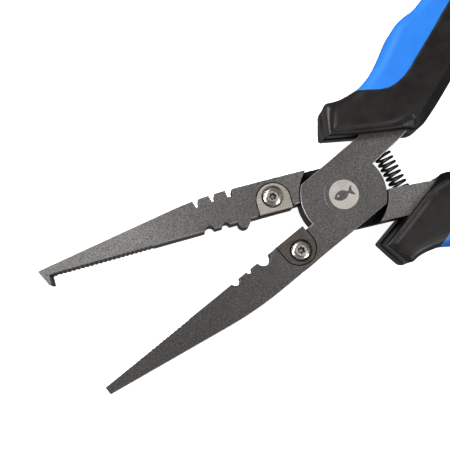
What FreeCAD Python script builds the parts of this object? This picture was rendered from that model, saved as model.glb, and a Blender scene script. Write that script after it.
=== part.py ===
import FreeCAD, Part
import math
import os
import Sketcher

# Split-ring fishing pliers.
# Frame: origin on the pivot axis at the steel's back face, tips towards -X, handles towards +X, +Z up.
# Each lever and its parts are drawn with the jaws closed along y = 0, then turned about the pivot by
# half_opening. The front lever has the upper lap, its jaw towards -Y and its tang towards +Y. The rear lever
# is the same turned over. Outlines are written for the front lever, and side (+1 or -1) turns their y.

DIMENSIONS = {
    # steel levers
    "steel_thickness": 7.5,
    "lap_play": 0.05,
    "half_opening": 11.9,
    "boss_radius": 12.0,
    "shoulder_radius": 12.4,
    "throat_reach": 14.2,
    "throat_drop": 0.85,
    "band_top_start": 7.6,
    "band_top_low": 9.4,
    "band_top_high": 9.9,
    "band_bottom": 9.3,
    "tang_root": 11.0,
    "tang_under": 1.6,
    "back_bend": 38.2,
    "back_height": 9.45,
    "back_bend_radius": 100.0,
    "edge_break": 0.2,
    # height of the jaws' inner edges where they leave the throat and at the tips
    "front_edge_near": 0.46,
    "front_edge_far": 0.25,
    "rear_edge_near": -0.36,
    "rear_edge_far": 0.57,
    # front jaw tip, and rear jaw tip with the split-ring hook
    "front_tip_reach": 81.7,
    "front_tip_height": 2.15,
    "rear_tip_reach": 84.85,
    "rear_tip_height": 1.05,
    "hook_face": 82.0,
    "hook_toe": 82.7,
    "hook_drop": 3.2,
    # serrations on both jaws
    "tooth_first": 80.6,
    "tooth_pitch": 1.25,
    "front_tooth_depth": 0.22,
    "rear_tooth_depth": 0.32,
    "tooth_count": 22,
    # crimping notches, and the rear jaw's nose that works in the front jaw's third notch
    "notch1_reach": 37.9,
    "notch1_radius": 1.35,
    "notch2_reach": 33.3,
    "notch2_radius": 1.05,
    "notch3_reach": 28.2,
    "notch3_radius": 2.2,
    "notch_set": 0.06,
    "nose_radius": 1.65,
    "nose_set": 0.25,
    # line slots in the rear jaw's back
    "slot1_reach": 39.9,
    "slot1_width": 0.8,
    "slot1_floor": 6.85,
    "slot1_slant": 0.7,
    "slot2_reach": 35.35,
    "slot2_width": 0.95,
    "slot2_floor": 7.3,
    "slot2_slant": 0.55,
    "slot3_reach": 30.85,
    "slot3_width": 1.45,
    "slot3_floor": 7.4,
    "slot3_slant": 0.3,
    "slot_mouth": 9.4,
    # cutter blades, their recesses and screws
    "blade_reach": 19.05,
    "blade_radius": 4.6,
    "blade_arc_height": 3.5,
    "blade_thickness": 3.0,
    "blade_bevel": 1.0,
    "recess_play": 0.3,
    "screw_height": 4.4,
    "screw_radius": 1.5,
    "screw_clearance": 0.1,
    "screw_length": 3.9,
    "screw_hole_depth": 4.3,
    "screw_head_radius": 2.75,
    "screw_head_height": 1.65,
    "screw_head_round": 1.3,
    "screw_seat_radius": 3.1,
    "screw_seat_depth": 1.2,
    "drive_radius": 0.8,
    "drive_lobe_radius": 0.26,
    "drive_depth": 0.9,
    # pivot
    "pin_head_radius": 5.5,
    "pin_head_height": 1.5,
    "pin_radius": 3.5,
    "pin_tail_radius": 2.5,
    "running_play": 0.05,
    "seat_play": 0.03,
    "pin_edge_break": 0.15,
    # spring and its pockets
    "spring_reach": 16.1,
    "spring_half_length": 7.9,
    "spring_radius": 2.2,
    "spring_wire_radius": 0.4,
    "spring_pitch": 1.45,
    "pocket_radius": 2.75,
    "pocket_floor_play": 0.1,
    # handles
    "handle_thickness": 13.0,
    "lanyard_radius": 2.25,
    "lanyard_reach": 117.0,
    "lanyard_height": 17.3,
}

# Tang inside the handle, from the hub's top edge out to its end and back along its under edge.
TANG = [(26.0, 10.4), (40.0, 13.4), (55.0, 18.6), (75.0, 22.4), (92.0, 22.2), (92.0, 19.2), (75.0, 18.6),
        (55.0, 14.3), (40.0, 8.7), (27.0, 4.6), (25.4, 2.7), (23.0, 2.3)]

# Handle outline. The guard is straight-sided between its nose and its peak, and the rest is smooth.
GUARD_NOSE = (6.6, 15.6)
GUARD_PEAK = (11.9, 22.5)
HANDLE_INNER = [(25.6, 2.75), (27.2, 1.5), (30.0, 1.2), (35.5, 2.6), (45.5, 6.0), (58.0, 10.4), (70.0, 13.4),
                (82.0, 14.5), (94.0, 14.0), (106.0, 12.6), (117.0, 11.6)]
HEEL_END = (123.4, 17.2)
HANDLE_OUTER = [(117.5, 23.1), (110.0, 25.4), (100.0, 28.3), (90.0, 30.8), (81.0, 32.3), (73.0, 32.8),
                (66.0, 32.2), (60.0, 30.9), (54.5, 29.3), (50.0, 28.35), (46.5, 28.4), (43.0, 28.0),
                (40.0, 26.8), (36.0, 24.7), (33.0, 23.3), (28.0, 21.5), (23.0, 20.5), (20.0, 20.65),
                (16.5, 21.15), (14.4, 21.8)]
# Line between the hard body and the soft grip, from outside the guard's back to outside the heel's back.
GRIP_LINE = [(20.4, 21.3), (21.4, 20.2), (25.0, 17.0), (28.0, 15.2), (31.0, 14.6), (35.0, 15.0), (41.0, 17.0),
             (49.0, 19.8), (58.0, 23.1), (68.0, 25.7), (78.0, 26.4), (88.0, 25.3), (98.0, 23.0), (104.0, 22.0),
             (109.0, 22.8), (113.0, 25.4), (114.5, 27.5)]
OUTSIDE = 45.0
TOUCH = 1e-4

UP = FreeCAD.Vector(0, 0, 1)
CENTRE = FreeCAD.Vector()

doc = FreeCAD.newDocument("FishingPliers")
sheet = doc.addObject("Spreadsheet::Sheet", "Sizes")
for row, (alias, value) in enumerate(DIMENSIONS.items(), start=1):
    sheet.set(f"A{row}", alias.replace("_", " "))
    sheet.set(f"B{row}", str(value))
    sheet.setAlias(f"B{row}", alias)
doc.recompute()


def size(item):
    """A number as it is, or the size that an alias names; a leading minus turns its sign."""
    if not isinstance(item, str):
        return item
    if item.startswith("-"):
        return -size(item[1:])
    return float(getattr(sheet, item))


def cell(item):
    """The same as an expression over the sheet."""
    if not isinstance(item, str):
        return str(item)
    if item.startswith("-"):
        return "-" + cell(item[1:])
    return "Sizes." + item


def turn_over(item, side):
    """An item of an outline's y, with its sign turned for the rear lever."""
    if side > 0:
        return item
    if not isinstance(item, str):
        return -item
    return item[1:] if item.startswith("-") else "-" + item


def sign(side):
    return "" if side > 0 else "-"


def lever_name(side):
    return "front" if side > 0 else "rear"


# ---------------------------------------------------------------- bodies, sketches and features

def new_body(label, side=0):
    """A body of its own; side turns it with its lever."""
    body = doc.addObject("PartDesign::Body", label)
    body.Label = label
    if side:
        body.Placement = FreeCAD.Placement(CENTRE, FreeCAD.Rotation(UP, side))
        body.setExpression("Placement.Rotation.Angle", f"Sizes.half_opening * {side}")
    return body


def new_sketch(body, name, lift="0", jaw=0):
    """A sketch level with the body's XY plane, lifted by an expression.

    With a jaw's side, the sketch's X axis lies on that jaw's inner edge."""
    sketch = body.newObject("Sketcher::SketchObject", f"{body.Label}_{name}_sketch")
    plane = next(item for item in body.Origin.OriginFeatures if item.Role == "XY_Plane")
    sketch.AttachmentSupport = [(plane, "")]
    sketch.MapMode = "FlatFace"
    sketch.setExpression("AttachmentOffset.Base.z", lift)
    if jaw:
        near, far = (f"Sizes.{lever_name(jaw)}_edge_{end}" for end in ("near", "far"))
        slope = f"({near} - {far}) / (Sizes.hook_face - Sizes.throat_reach)"
        sketch.setExpression("AttachmentOffset.Rotation.Angle", f"atan({slope}) * {jaw}")
        sketch.setExpression("AttachmentOffset.Base.y", f"({near} + Sizes.throat_reach * {slope}) * {jaw}")
    return sketch


def bind(sketch, kind, *items, expression):
    """A dimension of a sketch, tied to the sheet."""
    number = sketch.addConstraint(Sketcher.Constraint(kind, *items))
    sketch.setExpression(f"Constraints[{number}]", expression)


def join(sketch, *items):
    sketch.addConstraint(Sketcher.Constraint("Coincident", *items))


def draw_outline(sketch, corners, side=1):
    """A closed outline of straight edges and of arcs about the origin.

    A corner is (x, y), or (x, y, radius) where the edge that leaves it is an arc. Both ends of an arc are
    placed by their y on the circle, on the side that their x says."""
    arc_after = [corner[2] if len(corner) == 3 else None for corner in corners]
    on_arc = [arc_after[i] or arc_after[i - 1] for i in range(len(corners))]
    heights = [turn_over(corner[1], side) for corner in corners]
    points = []
    for corner, height, radius in zip(corners, heights, on_arc):
        across = size(corner[0])
        if radius:
            across = math.copysign(math.sqrt(size(radius) ** 2 - size(height) ** 2), across)
        points.append(FreeCAD.Vector(across, size(height), 0))
    ends = []
    for i, start in enumerate(points):
        stop = points[(i + 1) % len(points)]
        if not arc_after[i]:
            edge = sketch.addGeometry(Part.LineSegment(start, stop), False)
            ends.append((edge, 1, 2))
            continue
        angles = [math.atan2(point.y, point.x) for point in (start, stop)]
        clockwise = math.sin(angles[1] - angles[0]) < 0
        if clockwise:
            angles.reverse()
        circle = Part.Circle(CENTRE, UP, size(arc_after[i]))
        edge = sketch.addGeometry(Part.ArcOfCircle(circle, *angles), False)
        ends.append((edge, 2, 1) if clockwise else (edge, 1, 2))
        join(sketch, edge, 3, -1, 1)
        bind(sketch, "Radius", edge, size(arc_after[i]), expression=cell(arc_after[i]))
    for i, (edge, first, last) in enumerate(ends):
        following, after, _ = ends[(i + 1) % len(ends)]
        join(sketch, edge, last, following, after)
        bind(sketch, "DistanceY", -1, 1, edge, first, points[i].y, expression=cell(heights[i]))
        if not on_arc[i]:
            bind(sketch, "DistanceX", -1, 1, edge, first, points[i].x, expression=cell(corners[i][0]))


def draw_circle(sketch, x, y, radius):
    """A circle whose centre and radius are expressions."""
    edge = sketch.addGeometry(Part.Circle(CENTRE, UP, 1.0), False)
    bind(sketch, "DistanceX", -1, 1, edge, 3, 0.0, expression=x)
    bind(sketch, "DistanceY", -1, 1, edge, 3, 0.0, expression=y)
    bind(sketch, "Radius", edge, 1.0, expression=radius)


def draw_blade_outline(sketch, side, radius, flat):
    """A D: a half circle towards the jaw's back and a straight side at y = flat, which are expressions."""
    centre = FreeCAD.Vector(-size("blade_reach"), -side * size("blade_arc_height"), 0)
    reach = size("blade_radius")
    angles = (math.pi, 2 * math.pi) if side > 0 else (0, math.pi)
    left, right = (1, 2) if side > 0 else (2, 1)
    arc = sketch.addGeometry(Part.ArcOfCircle(Part.Circle(centre, UP, reach), *angles), False)
    corners = [centre + FreeCAD.Vector(x, y, 0) for x, y in
               ((-reach, 0), (-reach, side * reach), (reach, side * reach), (reach, 0))]
    lines = [sketch.addGeometry(Part.LineSegment(*pair), False) for pair in zip(corners, corners[1:])]
    join(sketch, arc, left, lines[0], 1)
    join(sketch, lines[0], 2, lines[1], 1)
    join(sketch, lines[1], 2, lines[2], 1)
    join(sketch, lines[2], 2, arc, right)
    sketch.addConstraint(Sketcher.Constraint("Vertical", lines[0]))
    sketch.addConstraint(Sketcher.Constraint("Horizontal", lines[1]))
    sketch.addConstraint(Sketcher.Constraint("Vertical", lines[2]))
    height = f"{sign(-side)}Sizes.blade_arc_height"
    bind(sketch, "DistanceX", -1, 1, arc, 3, centre.x, expression="-Sizes.blade_reach")
    bind(sketch, "DistanceY", -1, 1, arc, 3, centre.y, expression=height)
    bind(sketch, "Radius", arc, reach, expression=radius)
    bind(sketch, "DistanceY", -1, 1, arc, 1, centre.y, expression=height)
    bind(sketch, "DistanceY", -1, 1, arc, 2, centre.y, expression=height)
    bind(sketch, "DistanceY", -1, 1, lines[1], 1, corners[1].y, expression=flat)


def pad(body, sketch, name, length, downwards=False):
    doc.recompute()
    feature = body.newObject("PartDesign::Pad", f"{body.Label}_{name}")
    feature.Profile = sketch
    feature.Reversed = downwards
    feature.setExpression("Length", length)
    doc.recompute()
    return feature


def cut(body, sketch, name, length, upwards=False):
    """A pocket down from the sketch's plane, or up, that has to take something away."""
    doc.recompute()
    before = body.Shape.Volume
    feature = body.newObject("PartDesign::Pocket", f"{body.Label}_{name}")
    feature.Profile = sketch
    feature.Reversed = upwards
    feature.setExpression("Length", length)
    doc.recompute()
    if body.Shape.Volume > before - TOUCH:
        raise RuntimeError(feature.Name + " cuts nothing")
    return feature


def dress(body, kind, name, wanted, prop, expression):
    """A fillet or chamfer on the edges that the test picks."""
    doc.recompute()
    base = body.Tip
    names = [f"Edge{i}" for i, edge in enumerate(base.Shape.Edges, start=1) if wanted(edge)]
    if not names:
        raise RuntimeError(f"{body.Label}_{name} finds no edge")
    feature = body.newObject(kind, f"{body.Label}_{name}")
    feature.Base = (base, names)
    feature.setExpression(prop, expression)
    doc.recompute()


def row_of_cuts(body, feature, sketch, step, count):
    """Repeats a pocket along its sketch's X axis."""
    pattern = body.newObject("PartDesign::LinearPattern", feature.Name + "_row")
    pattern.Originals = [feature]
    pattern.Direction = (sketch, ["H_Axis"])
    pattern.Length = step * (count - 1)
    pattern.Occurrences = count
    body.Tip = pattern
    doc.recompute()


def ring_of_cuts(body, feature, count):
    """Repeats a pocket about the body's Z axis."""
    pattern = body.newObject("PartDesign::PolarPattern", feature.Name + "_ring")
    pattern.Originals = [feature]
    axis = next(item for item in body.Origin.OriginFeatures if item.Role == "Z_Axis")
    pattern.Axis = (axis, [""])
    pattern.Angle = 360
    pattern.Occurrences = count
    body.Tip = pattern
    doc.recompute()


# ---------------------------------------------------------------- steel levers

FRONT_TIP = [("-front_tip_reach", "-front_tip_height"), ("-front_tip_reach", "front_edge_far")]
REAR_TIP = [("-rear_tip_reach", "-rear_tip_height"), ("-hook_toe", "hook_drop"), ("-hook_face", "hook_drop"),
            ("-hook_face", "rear_edge_far")]


def lever_corners(side, tip):
    """From the jaw's tip along its inner edge, over the boss and round the tang, to its back's bend."""
    throat = [("-throat_reach", f"{lever_name(side)}_edge_near"), ("-throat_reach", "-throat_drop")]
    boss_top = [("-boss_radius", "-throat_drop", "boss_radius"), ("-band_top_start", "band_top_low")]
    tang = [("tang_root", "band_top_high")] + TANG
    boss_under = [("boss_radius", "tang_under", "boss_radius"), ("boss_radius", "-band_bottom")]
    return tip + throat + boss_top + tang + boss_under + [("-back_bend", "-back_height")]


def is_flat_long(edge):
    """An edge of the plate's top or bottom outline, long enough to break."""
    box = edge.BoundBox
    return box.ZLength < TOUCH and edge.Length > 1.5


def is_back_bend(edge):
    box = edge.BoundBox
    upright = box.ZLength > size("steel_thickness") - TOUCH
    return upright and abs(box.XMin + size("back_bend")) < 0.01


def lever(label, side, tip):
    """Jaw, half-thickness boss and tang in one piece; what both levers share."""
    body = new_body(label, side)
    blank = new_sketch(body, "plate")
    draw_outline(blank, lever_corners(side, tip), side)
    pad(body, blank, "plate", "Sizes.steel_thickness")
    dress(body, "PartDesign::Fillet", "back", is_back_bend, "Radius", "Sizes.back_bend_radius")
    dress(body, "PartDesign::Chamfer", "edges", is_flat_long, "Size", "Sizes.edge_break")
    cut_lap(body, side)
    cut_teeth(body, side)
    cut_notches(body, side)
    cut_recess(body, side)
    cut_pivot_hole(body, side)
    cut_spring_pocket(body, side)
    return body


def cut_lap(body, side):
    """Half of the thickness goes inside the shoulder: below on the front lever, above on the rear one."""
    lap = new_sketch(body, "lap", "0" if side > 0 else "Sizes.steel_thickness")
    draw_circle(lap, "0", "0", "Sizes.shoulder_radius")
    cut(body, lap, "lap", "Sizes.steel_thickness / 2 + Sizes.lap_play", upwards=side > 0)


def cut_teeth(body, side):
    """A row of V grooves across the jaw's inner face."""
    groove = new_sketch(body, "tooth", "Sizes.steel_thickness", side)
    first = size("tooth_first")
    half = size("tooth_pitch") / 2
    corners = [(-first - half, 0.0), (-first, f"-{lever_name(side)}_tooth_depth"), (-first + half, 0.0)]
    draw_outline(groove, corners, side)
    feature = cut(body, groove, "tooth", "Sizes.steel_thickness")
    row_of_cuts(body, feature, groove, size("tooth_pitch"), int(size("tooth_count")))


def cut_notches(body, side):
    """Round crimping notches; the third one is only in the front jaw."""
    for number in (1, 2, 3) if side > 0 else (1, 2):
        notch = new_sketch(body, f"notch{number}", "Sizes.steel_thickness", side)
        draw_circle(notch, f"-Sizes.notch{number}_reach", f"{sign(side)}Sizes.notch_set",
                    f"Sizes.notch{number}_radius")
        cut(body, notch, f"notch{number}", "Sizes.steel_thickness")


def cut_recess(body, side):
    """The cutter blade's seat in the top face, and its screw's hole."""
    recess = new_sketch(body, "recess", "Sizes.steel_thickness")
    draw_blade_outline(recess, side, "Sizes.blade_radius + Sizes.recess_play", f"{sign(side)}Sizes.blade_bevel")
    cut(body, recess, "recess", "Sizes.blade_thickness")
    hole = new_sketch(body, "screw_hole", "Sizes.steel_thickness - Sizes.blade_thickness")
    draw_circle(hole, "-Sizes.blade_reach", f"{sign(-side)}Sizes.screw_height",
                "Sizes.screw_radius + Sizes.seat_play")
    cut(body, hole, "screw_hole", "Sizes.screw_hole_depth - Sizes.blade_thickness + Sizes.screw_seat_depth")


def cut_pivot_hole(body, side):
    """The pin is seated in the front lever and turns in the rear one; each has a counterbore outside."""
    play = "Sizes.seat_play" if side > 0 else "Sizes.running_play"
    for name, radius, depth in (("pivot_hole", "pin_radius", "Sizes.steel_thickness"),
                                ("pivot_seat", "pin_head_radius", f"Sizes.pin_head_height + {play}")):
        sketch = new_sketch(body, name, "Sizes.steel_thickness" if side > 0 else "0")
        draw_circle(sketch, "0", "0", f"Sizes.{radius} + {play}")
        cut(body, sketch, name, depth, upwards=side < 0)


def cut_spring_pocket(body, side):
    """A blind round hole in the tang's inner side, in line with the other lever's while the jaws are open."""
    sketch = new_sketch(body, "pocket", "Sizes.steel_thickness / 2")
    sketch.setExpression("AttachmentOffset.Rotation.Angle", f"Sizes.half_opening * {-side}")
    reach = size("spring_reach")
    depth = side * size("spring_half_length")
    corners = [FreeCAD.Vector(*point) for point in ((reach, 0, 0), (reach + 1, 0, 0), (reach + 1, depth, 0),
                                                    (reach, depth, 0))]
    pairs = list(zip(corners, corners[1:] + corners[:1]))
    lines = [sketch.addGeometry(Part.LineSegment(*pair), False) for pair in pairs]
    axis = sketch.addGeometry(Part.LineSegment(corners[0], corners[3]), True)
    for i, line in enumerate(lines):
        join(sketch, line, 2, lines[(i + 1) % 4], 1)
        sketch.addConstraint(Sketcher.Constraint("Vertical" if i % 2 else "Horizontal", line))
    join(sketch, axis, 1, lines[0], 1)
    join(sketch, axis, 2, lines[3], 1)
    bind(sketch, "DistanceX", -1, 1, lines[0], 1, reach, expression="Sizes.spring_reach")
    bind(sketch, "DistanceY", -1, 1, lines[0], 1, 0.0, expression="0")
    bind(sketch, "DistanceX", lines[0], 1, lines[0], 2, 1.0, expression="Sizes.pocket_radius")
    bind(sketch, "DistanceY", -1, 1, lines[2], 1, depth,
         expression=f"(Sizes.spring_half_length + Sizes.pocket_floor_play) * {side}")
    doc.recompute()
    before = body.Shape.Volume
    groove = body.newObject("PartDesign::Groove", body.Label + "_pocket")
    groove.Profile = sketch
    groove.ReferenceAxis = (sketch, ["Axis0"])
    groove.Angle = 360
    doc.recompute()
    if body.Shape.Volume > before - TOUCH:
        raise RuntimeError(groove.Name + " cuts nothing")


front_lever = lever("front_lever", 1, FRONT_TIP)
rear_lever = lever("rear_lever", -1, REAR_TIP)

nose = new_sketch(rear_lever, "nose", jaw=-1)
draw_circle(nose, "-Sizes.notch3_reach", "-Sizes.nose_set", "Sizes.nose_radius")
pad(rear_lever, nose, "nose", "Sizes.steel_thickness")

for number in (1, 2, 3):
    slot = new_sketch(rear_lever, f"slot{number}", "Sizes.steel_thickness")
    reach = size(f"slot{number}_reach")
    width = size(f"slot{number}_width")
    floor = size(f"slot{number}_floor")
    slant = size(f"slot{number}_slant")
    mouth = size("slot_mouth")
    over = 1.0 + slant * (mouth + 1.0 - floor) / (mouth - floor)
    draw_outline(slot, [(-reach - over + 1.0, mouth + 1.0), (-reach, floor), (-reach + width, floor),
                        (-reach + width + 0.15, mouth + 1.0)])
    cut(rear_lever, slot, f"slot{number}", "Sizes.steel_thickness")


# ---------------------------------------------------------------- cutters

def cutter_blade(label, side):
    """A D-shaped plate with a screw seat, its straight side ground to an edge from below."""
    body = new_body(label, side)
    plate = new_sketch(body, "plate", "Sizes.steel_thickness - Sizes.blade_thickness")
    draw_blade_outline(plate, side, "Sizes.blade_radius", f"{sign(side)}Sizes.{lever_name(side)}_edge_near")
    pad(body, plate, "plate", "Sizes.blade_thickness")
    under = size("steel_thickness") - size("blade_thickness")

    def is_cutting_edge(edge):
        box = edge.BoundBox
        return abs(box.ZMax - under) < TOUCH and box.YLength < TOUCH

    dress(body, "PartDesign::Chamfer", "bevel", is_cutting_edge, "Size", "Sizes.blade_bevel")
    height = f"{sign(-side)}Sizes.screw_height"
    seat = new_sketch(body, "seat", "Sizes.steel_thickness")
    draw_circle(seat, "-Sizes.blade_reach", height, "Sizes.screw_seat_radius")
    cut(body, seat, "seat", "Sizes.screw_seat_depth")
    hole = new_sketch(body, "hole", "Sizes.steel_thickness")
    draw_circle(hole, "-Sizes.blade_reach", height, "Sizes.screw_radius + Sizes.screw_clearance")
    cut(body, hole, "hole", "Sizes.blade_thickness")


def cutter_screw(label, side):
    """A button-head screw with a six-lobe drive, drawn upright on its own axis."""
    body = doc.addObject("PartDesign::Body", label)
    body.Label = label
    head = new_sketch(body, "head")
    draw_circle(head, "0", "0", "Sizes.screw_head_radius")
    pad(body, head, "head", "Sizes.screw_head_height")
    top = size("screw_head_height")
    dress(body, "PartDesign::Fillet", "dome", lambda edge: edge.BoundBox.ZMin > top - TOUCH, "Radius",
          "Sizes.screw_head_round")
    shank = new_sketch(body, "shank")
    draw_circle(shank, "0", "0", "Sizes.screw_radius")
    pad(body, shank, "shank", "Sizes.screw_length", downwards=True)
    drive = new_sketch(body, "drive", "Sizes.screw_head_height")
    draw_circle(drive, "0", "0", "Sizes.drive_radius")
    cut(body, drive, "drive", "Sizes.drive_depth")
    lobe = new_sketch(body, "lobe", "Sizes.screw_head_height")
    draw_circle(lobe, "Sizes.drive_radius", "0", "Sizes.drive_lobe_radius")
    feature = cut(body, lobe, "lobe", "Sizes.drive_depth")
    ring_of_cuts(body, feature, 6)
    place = FreeCAD.Vector(-size("blade_reach"), -side * size("screw_height"),
                           size("steel_thickness") - size("screw_seat_depth"))
    turn = FreeCAD.Rotation(UP, side * size("half_opening"))
    body.Placement = FreeCAD.Placement(turn.multVec(place), turn)


for name, side in (("front", 1), ("rear", -1)):
    cutter_blade(name + "_cutter_blade", side)
    cutter_screw(name + "_cutter_screw", side)


# ---------------------------------------------------------------- pivot

pin = new_body("pivot_pin", 1)
head = new_sketch(pin, "head", "Sizes.steel_thickness")
draw_circle(head, "0", "0", "Sizes.pin_head_radius")
pad(pin, head, "head", "Sizes.pin_head_height", downwards=True)
top = size("steel_thickness")
dress(pin, "PartDesign::Chamfer", "rim", lambda edge: edge.BoundBox.ZMin > top - TOUCH, "Size",
      "Sizes.pin_edge_break")
shank = new_sketch(pin, "shank", "Sizes.pin_head_height")
draw_circle(shank, "0", "0", "Sizes.pin_radius")
pad(pin, shank, "shank", "Sizes.steel_thickness - 2 * Sizes.pin_head_height")
tail = new_sketch(pin, "tail")
draw_circle(tail, "0", "0", "Sizes.pin_tail_radius")
pad(pin, tail, "tail", "Sizes.pin_head_height")

collar = new_body("pivot_collar", 1)
ring = new_sketch(collar, "ring")
draw_circle(ring, "0", "0", "Sizes.pin_head_radius")
draw_circle(ring, "0", "0", "Sizes.pin_tail_radius + Sizes.seat_play")
pad(collar, ring, "ring", "Sizes.pin_head_height")


# ---------------------------------------------------------------- spring

def return_spring():
    """A round-wire helix along Y between the two pockets."""
    length = 2 * size("spring_half_length") - 2 * size("spring_wire_radius")
    helix = Part.makeHelix(size("spring_pitch"), length, size("spring_radius"))
    start = FreeCAD.Vector(size("spring_radius"), 0, 0)
    wire_section = Part.Wire(Part.makeCircle(size("spring_wire_radius"), start, FreeCAD.Vector(0, 1, 0)))
    feature = doc.addObject("Part::Feature", "return_spring")
    feature.Label = "return_spring"
    feature.Shape = Part.Wire(helix).makePipeShell([wire_section], True, True)
    along_y = FreeCAD.Rotation(FreeCAD.Vector(1, 0, 0), -90)
    feature.Placement = FreeCAD.Placement(
        FreeCAD.Vector(size("spring_reach"), -length / 2, size("steel_thickness") / 2), along_y)


return_spring()


# ---------------------------------------------------------------- handles

def smooth(points):
    curve = Part.BSplineCurve()
    curve.interpolate([FreeCAD.Vector(x, y, 0) for x, y in points])
    return curve.toShape()


def straight(start, stop):
    return Part.makeLine(FreeCAD.Vector(*start, 0), FreeCAD.Vector(*stop, 0))


def prism(edges, bottom, height):
    face = Part.Face(Part.Wire(edges))
    face.translate(FreeCAD.Vector(0, 0, bottom))
    return face.extrude(FreeCAD.Vector(0, 0, height))


def polygon_prism(points, bottom, height):
    corners = [FreeCAD.Vector(x, y, 0) for x, y in points]
    return prism(Part.makePolygon(corners + corners[:1]).Edges, bottom, height)


def handle_slab():
    """The whole handle's outer shape, as thick all over."""
    thick = size("handle_thickness")
    heel = Part.Arc(*[FreeCAD.Vector(x, y, 0) for x, y in (HANDLE_INNER[-1], HEEL_END, HANDLE_OUTER[0])])
    edges = [straight(GUARD_NOSE, HANDLE_INNER[0]), smooth(HANDLE_INNER), heel.toShape(), smooth(HANDLE_OUTER),
             straight(HANDLE_OUTER[-1], GUARD_PEAK), straight(GUARD_PEAK, GUARD_NOSE)]
    return prism(edges, (size("steel_thickness") - thick) / 2, thick)


def turned_feature(label, shape, side):
    feature = doc.addObject("Part::Feature", label)
    feature.Label = label
    feature.Shape = shape
    if side < 0:
        over = FreeCAD.Rotation(FreeCAD.Vector(1, 0, 0), 180)
        lift = FreeCAD.Vector(0, 0, size("steel_thickness"))
        turn = FreeCAD.Rotation(UP, -size("half_opening"))
        feature.Placement = FreeCAD.Placement(lift, turn * over)
    else:
        feature.Placement = FreeCAD.Placement(CENTRE, FreeCAD.Rotation(UP, size("half_opening")))


def handle(name, side):
    """The hard body, moulded over the tang, and the soft grip let into its back."""
    slab = handle_slab()
    thick = size("handle_thickness")
    bottom = (size("steel_thickness") - thick) / 2
    beyond = [straight(GRIP_LINE[-1], (GRIP_LINE[-1][0], OUTSIDE)),
              straight((GRIP_LINE[-1][0], OUTSIDE), (GRIP_LINE[0][0], OUTSIDE)),
              straight((GRIP_LINE[0][0], OUTSIDE), GRIP_LINE[0])]
    grip_space = prism([smooth(GRIP_LINE)] + beyond, bottom - 1, thick + 2)
    root = [(0.0, TANG[-1][1]), (0.0, TANG[0][1])]
    tang_space = polygon_prism(root + TANG, 0, size("steel_thickness"))
    hole = Part.makeCylinder(size("lanyard_radius"), thick + 2,
                             FreeCAD.Vector(size("lanyard_reach"), size("lanyard_height"), bottom - 1))
    turned_feature(name + "_handle_body", slab.cut([grip_space, tang_space, hole]), side)
    turned_feature(name + "_handle_grip", slab.common(grip_space), side)


handle("front", 1)
handle("rear", -1)


# ---------------------------------------------------------------- checks and export

doc.recompute()
for item in doc.Objects:
    if {"Invalid", "Error"} & set(item.State):
        raise RuntimeError(f"{item.Label}: {item.State}")

os.makedirs("parts", exist_ok=True)
for item in doc.Objects:
    if item.TypeId not in ("PartDesign::Body", "Part::Feature"):
        continue
    shape = item.Shape
    if shape.isNull() or not shape.isValid() or len(shape.Solids) != 1:
        raise RuntimeError(f"{item.Label} is not one valid solid")
    shape.exportStep(f"parts/{item.Label}.step")
    box = shape.BoundBox
    print(f"{item.Label:22s} {shape.Volume:9.1f} mm3  x {box.XMin:7.2f} {box.XMax:7.2f}  "
          f"y {box.YMin:7.2f} {box.YMax:7.2f}  z {box.ZMin:6.2f} {box.ZMax:6.2f}")
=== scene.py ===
import math

import bmesh
import bpy
import numpy as np
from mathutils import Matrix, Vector
from mathutils.geometry import delaunay_2d_cdt


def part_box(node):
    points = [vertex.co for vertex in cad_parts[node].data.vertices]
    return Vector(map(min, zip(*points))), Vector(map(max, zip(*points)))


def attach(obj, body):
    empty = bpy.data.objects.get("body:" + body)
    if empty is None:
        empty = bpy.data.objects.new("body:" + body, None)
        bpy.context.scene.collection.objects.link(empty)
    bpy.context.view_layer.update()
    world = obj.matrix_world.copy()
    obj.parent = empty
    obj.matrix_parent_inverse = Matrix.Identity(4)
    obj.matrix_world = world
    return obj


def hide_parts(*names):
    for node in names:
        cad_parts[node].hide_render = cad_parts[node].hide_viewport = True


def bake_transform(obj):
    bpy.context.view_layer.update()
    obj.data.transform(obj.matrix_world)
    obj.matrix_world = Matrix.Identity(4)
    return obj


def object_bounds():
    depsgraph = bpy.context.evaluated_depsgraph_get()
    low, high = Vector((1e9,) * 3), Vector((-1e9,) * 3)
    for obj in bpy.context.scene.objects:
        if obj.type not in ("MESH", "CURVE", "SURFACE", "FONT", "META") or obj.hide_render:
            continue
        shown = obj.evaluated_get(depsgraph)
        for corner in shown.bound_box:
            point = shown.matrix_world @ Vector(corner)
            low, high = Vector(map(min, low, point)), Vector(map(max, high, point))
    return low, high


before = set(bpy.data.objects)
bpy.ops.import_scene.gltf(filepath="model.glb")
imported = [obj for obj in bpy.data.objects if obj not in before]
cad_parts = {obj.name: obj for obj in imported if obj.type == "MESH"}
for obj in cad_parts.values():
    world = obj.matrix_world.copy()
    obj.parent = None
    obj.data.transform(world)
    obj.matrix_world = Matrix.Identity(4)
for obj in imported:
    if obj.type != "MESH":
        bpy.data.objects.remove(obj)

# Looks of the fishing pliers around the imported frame.
# Sizes are in millimetres until MM turns them into metres.
MM = 0.001
CAD_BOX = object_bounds()
STEEL_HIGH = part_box("front_lever")[1].z / MM
HANDLE_LOW, HANDLE_HIGH = (corner.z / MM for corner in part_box("front_handle_body"))
MIDDLE = (HANDLE_LOW + HANDLE_HIGH) / 2
HALF_THICKNESS = (HANDLE_HIGH - HANDLE_LOW) / 2
HALF_OPENING = math.radians(11.9)  # how far each lever is turned from closed, at rest

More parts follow.
